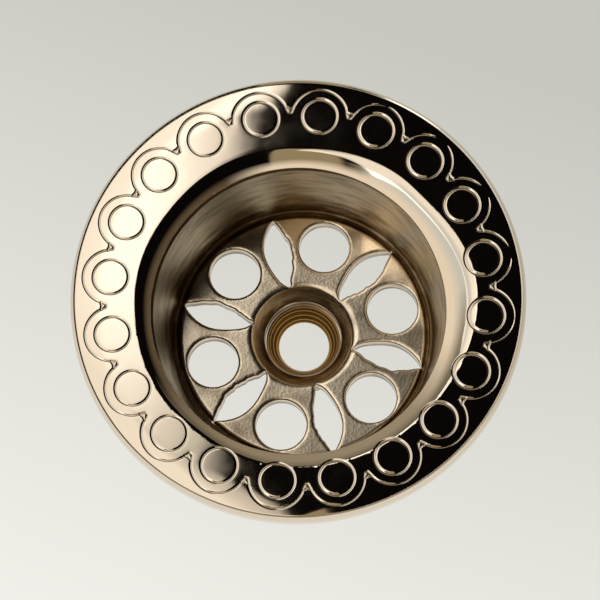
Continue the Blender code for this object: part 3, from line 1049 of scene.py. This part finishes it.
def satin_nickel(name, light, dark, grain, roughness, painted_shade, foot, head):
    """Nickel plate on a brass casting that was only tumbled: a grained satin, with brown painted shade that
    deepens toward its lower parts.

    The painted shade grows by the given share from the height head down to the height foot.
    """
    material, tree = new_material(name)
    where = add(tree, "ShaderNodeTexCoord").outputs["Object"]
    # Four times as long round the axis as up the wall
    drawn = add(tree, "ShaderNodeMapping", {"Vector": where, "Scale": (1, 1, 4)})
    patch = add(
        tree,
        "ShaderNodeTexNoise",
        {"Vector": drawn.outputs[0], "Scale": 1 / (4 * MM), "Detail": 5},
    )
    height = add(tree, "ShaderNodeSeparateXYZ", {"Vector": where}).outputs["Z"]
    # Painted shade: the colour turns brown from the height head down to the foot, as if the lower hollows lay
    # in shade
    low = add(
        tree,
        "ShaderNodeMapRange",
        {"Value": height, "From Min": foot, "From Max": head, "To Min": -painted_shade, "To Max": 0},
    )
    share = add(tree, "ShaderNodeMath", {0: patch.outputs["Fac"], 1: low.outputs[0]}, operation="ADD")
    tint = add(tree, "ShaderNodeValToRGB", {"Fac": share.outputs[0]})
    set_stops(tint, [(0.15, dark), (0.55, light)])
    fine = add(tree, "ShaderNodeTexNoise", {"Vector": where, "Scale": 1 / grain, "Detail": 3})
    bump = add(
        tree,
        "ShaderNodeBump",
        {"Height": fine.outputs["Fac"], "Strength": 0.2, "Distance": 0.05 * MM},
    )
    shader = add(
        tree,
        "ShaderNodeBsdfPrincipled",
        {
            "Base Color": tint.outputs[0],
            "Metallic": 1,
            "Roughness": roughness,
            "Normal": bump.outputs[0],
        },
    )
    add(tree, "ShaderNodeOutputMaterial", {"Surface": shader.outputs[0]})
    return material


def bare_brass(name, colour, roughness):
    """Turned or tapped brass: a yellow metal whose tool marks break up its shine."""
    material, tree = new_material(name)
    where = add(tree, "ShaderNodeTexCoord").outputs["Object"]
    # Real tool marks are finer than the render can show, so these are drawn coarser
    marks = add(tree, "ShaderNodeTexNoise", {"Vector": where, "Scale": 1 / (0.5 * MM), "Detail": 3})
    bump = add(
        tree,
        "ShaderNodeBump",
        {"Height": marks.outputs["Fac"], "Strength": 0.2, "Distance": 0.04 * MM},
    )
    shader = add(
        tree,
        "ShaderNodeBsdfPrincipled",
        {
            "Base Color": srgb(colour),
            "Metallic": 1,
            "Roughness": roughness,
            "Normal": bump.outputs[0],
        },
    )
    add(tree, "ShaderNodeOutputMaterial", {"Surface": shader.outputs[0]})
    return material


def plain_polymer(name, colour, roughness, grain):
    """Moulded rubber or plastic, cut foam or pressed fibre: matt, with a grain that breaks up its sheen."""
    material, tree = new_material(name)
    where = add(tree, "ShaderNodeTexCoord").outputs["Object"]
    fine = add(tree, "ShaderNodeTexNoise", {"Vector": where, "Scale": 1 / grain, "Detail": 3})
    bump = add(
        tree,
        "ShaderNodeBump",
        {"Height": fine.outputs["Fac"], "Strength": 0.4, "Distance": grain / 4},
    )
    shader = add(
        tree,
        "ShaderNodeBsdfPrincipled",
        {"Base Color": srgb(colour), "Roughness": roughness, "Normal": bump.outputs[0]},
    )
    add(tree, "ShaderNodeOutputMaterial", {"Surface": shader.outputs[0]})
    return material


# Room, light and camera


def pale_table():
    """Pale painted board, lit from below: its own light for the eye and the metal, and a little shadow."""
    material, tree = new_material("pale_table")
    where = add(tree, "ShaderNodeTexCoord").outputs["Object"]
    share = add(tree, "ShaderNodeVectorMath", {0: where, 1: TABLE_FALL}, operation="DOT_PRODUCT")
    share = add(
        tree,
        "ShaderNodeMapRange",
        {"Value": share.outputs["Value"], "From Min": -0.5, "From Max": 0.5},
    )
    glow = add(tree, "ShaderNodeValToRGB", {"Fac": share.outputs[0]})
    set_stops(glow, TABLE_STOPS)
    rays = add(tree, "ShaderNodeLightPath").outputs
    seen = rays["Is Camera Ray"]
    for ray in ("Is Glossy Ray", "Is Transmission Ray"):
        seen = add(tree, "ShaderNodeMath", {0: seen, 1: rays[ray]}, operation="MAXIMUM").outputs[0]
    glowing = add(tree, "ShaderNodeMath", {0: seen, 1: TABLE_GLOW}, operation="MULTIPLY")
    diffuse = add(tree, "ShaderNodeBsdfDiffuse", {"Color": srgb("#B8B8B2")})
    emission = add(tree, "ShaderNodeEmission", {"Color": glow.outputs[0], "Strength": 1})
    shader = add(
        tree,
        "ShaderNodeMixShader",
        {0: glowing.outputs[0], 1: diffuse.outputs[0], 2: emission.outputs[0]},
    )
    add(tree, "ShaderNodeOutputMaterial", {"Surface": shader.outputs[0]})
    return material


def make_floor():
    """The table that the drain stands on."""
    deselect()
    bpy.ops.mesh.primitive_plane_add(size=TABLE_SIZE)
    floor = bpy.context.object
    floor.name = "table"
    floor.data.materials.append(pale_table())


def shape_softbox(light):
    """The softbox as the flat border mirrors it: a soft uneven edge, a hot spot beside it, cooler far off."""
    light.use_nodes = True
    tree = light.node_tree
    tree.nodes.clear()
    where = add(tree, "ShaderNodeNewGeometry").outputs["Position"]
    split = add(tree, "ShaderNodeSeparateXYZ", {"Vector": where}).outputs
    inward = split["X"]
    for start, end, start_shift, end_shift in SOFTBOX_BENDS:
        shift = add(
            tree,
            "ShaderNodeMapRange",
            {
                "Value": split["Y"],
                "From Min": start,
                "From Max": end,
                "To Min": start_shift,
                "To Max": end_shift,
            },
        )
        inward = add(tree, "ShaderNodeMath", {0: inward, 1: shift.outputs[0]}, operation="ADD").outputs[0]
    far = add(
        tree,
        "ShaderNodeMapRange",
        {"Value": inward, "From Min": 0, "From Max": -SOFTBOX_WIDTH},
    )
    front = add(tree, "ShaderNodeValToRGB", {"Fac": far.outputs[0]})
    set_stops(front, SOFTBOX_FRONT_STOPS)
    back = add(tree, "ShaderNodeValToRGB", {"Fac": far.outputs[0]})
    set_stops(back, SOFTBOX_BACK_STOPS)
    depth = add(
        tree,
        "ShaderNodeMapRange",
        {"Value": split["Y"], "From Min": SOFTBOX_BLEND[0], "From Max": SOFTBOX_BLEND[1]},
    )
    glow = add(
        tree,
        "ShaderNodeMixRGB",
        {"Fac": depth.outputs[0], "Color1": front.outputs[0], "Color2": back.outputs[0]},
    )
    emission = add(tree, "ShaderNodeEmission", {"Color": glow.outputs[0], "Strength": SOFTBOX_STRENGTH})
    add(tree, "ShaderNodeOutputLight", {"Surface": emission.outputs[0]})


def make_softbox():
    """A flat softbox over the left half of the table. Its edge is mirrored in the border."""
    light = bpy.data.lights.new("main_softbox", "AREA")
    light.shape = "RECTANGLE"
    light.size = SOFTBOX_WIDTH
    light.size_y = SOFTBOX_LENGTH
    # With this energy a strength of 1 looks as bright as white
    light.energy = math.pi * SOFTBOX_WIDTH * SOFTBOX_LENGTH
    obj = bpy.data.objects.new("main_softbox", light)
    obj.location = (-SOFTBOX_WIDTH / 2, SOFTBOX_MIDDLE, SOFTBOX_HEIGHT)
    bpy.context.scene.collection.objects.link(obj)
    shape_softbox(light)


def make_world():
    """The room: a pale wall to the left, a tan one in front, a dim one at the back, and the rest dark."""
    world = bpy.data.worlds.new("room")
    bpy.context.scene.world = world
    world.use_nodes = True
    tree = world.node_tree
    tree.nodes.clear()
    where = add(tree, "ShaderNodeTexCoord").outputs["Generated"]
    split = add(tree, "ShaderNodeSeparateXYZ", {"Vector": where}).outputs
    turn = add(tree, "ShaderNodeMath", {0: split["X"], 1: split["Y"]}, operation="ARCTAN2")
    share = add(
        tree,
        "ShaderNodeMapRange",
        {"Value": turn.outputs[0], "From Min": -math.pi, "From Max": math.pi},
    )
    room = add(tree, "ShaderNodeValToRGB", {"Fac": share.outputs[0]})
    set_stops(room, WALL_STOPS)
    for stops, (start, end) in ((HIGH_STOPS, HIGH_RISE), (HORIZON_STOPS, HORIZON_RISE)):
        band = add(tree, "ShaderNodeValToRGB", {"Fac": share.outputs[0]})
        set_stops(band, stops)
        rise = add(tree, "ShaderNodeMapRange", {"Value": split["Z"], "From Min": start, "From Max": end})
        room = add(
            tree,
            "ShaderNodeMixRGB",
            {"Fac": rise.outputs[0], "Color1": room.outputs[0], "Color2": band.outputs[0]},
        )
    background = add(tree, "ShaderNodeBackground", {"Color": room.outputs[0], "Strength": 1})
    add(tree, "ShaderNodeOutputWorld", {"Surface": background.outputs[0]})


def make_camera():
    """The camera at the photograph's viewing angle."""
    camera = bpy.data.cameras.new("camera")
    camera.sensor_width = SENSOR
    camera.lens = SENSOR * FOCAL_PIXELS / PHOTO_SIDE
    camera.clip_end = CAMERA_REACH
    obj = bpy.data.objects.new("camera", camera)
    swing = Euler((0, math.radians(CAMERA_SWING), 0)).to_matrix()
    tilt = Euler((math.radians(CAMERA_TILT), 0, 0)).to_matrix()
    obj.rotation_euler = (tilt @ swing).to_euler()
    obj.location = CAMERA_PLACE
    bpy.context.scene.collection.objects.link(obj)
    bpy.context.scene.camera = obj


def ride_for(obj, body, node, material):
    """The piece rides on the body and stands for the node, in its finish."""
    obj.data.materials.clear()
    obj.data.materials.append(material)
    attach(obj, body)
    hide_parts(node)


def main():
    """Makes every piece in its finish, then the table, the room, the light and the camera."""
    nickel = polished_nickel()
    # The cup's and the grid's metal are painted darker toward their lower parts, as shade, by the share given
    # in each call
    cup_metal = satin_nickel(
        "tumbled_nickel_cup",
        light="#D0BEA0",
        dark="#6E583A",
        grain=0.25 * MM,
        roughness=0.42,
        painted_shade=0.4,
        foot=6 * MM,
        head=11 * MM,
    )
    grid_metal = satin_nickel(
        "tumbled_nickel_grid",
        light="#F4E3CB",
        dark="#6A5336",
        grain=0.35 * MM,
        roughness=0.21,
        painted_shade=0.3,
        foot=GRID_TOP - 1.6 * MM,
        head=GRID_TOP - 0.3 * MM,
    )
    brass = bare_brass("tapped_brass", "#A98448", 0.28)
    nut_brass = bare_brass("turned_brass", "#D0AE72", 0.3)
    foam = plain_polymer("black_foam", "#2A2A2A", 0.85, 0.3 * MM)
    rubber = plain_polymer("black_rubber", "#1C1C1C", 0.5, 0.15 * MM)
    slip = plain_polymer("natural_polythene", "#DCDCD4", 0.4, 0.2 * MM)
    fibre = plain_polymer("tan_fibre", "#A98555", 0.7, 0.1 * MM)
    ride_for(make_flange(), "body", "flange_ring", nickel)
    ride_for(make_cup(), "body", "strainer_cup", cup_metal)
    ride_for(make_grid(), "body", "grid_plate", grid_metal)
    ride_for(make_bush(), "body", "hub_bush", brass)
    ride_for(make_seal(), "body", "lip_seal", fibre)
    ride_for(make_gasket(), "body", "flange_gasket", foam)
    ride_for(make_rubber_washer(), "washer_stack", "rubber_washer", rubber)
    ride_for(make_slip_washer(), "washer_stack", "friction_washer", slip)
    ride_for(make_nut(), "nut", "ring_nut", nut_brass)
    make_floor()
    make_world()
    make_softbox()
    make_camera()
    bpy.context.scene.view_settings.view_transform = "Standard"


main()
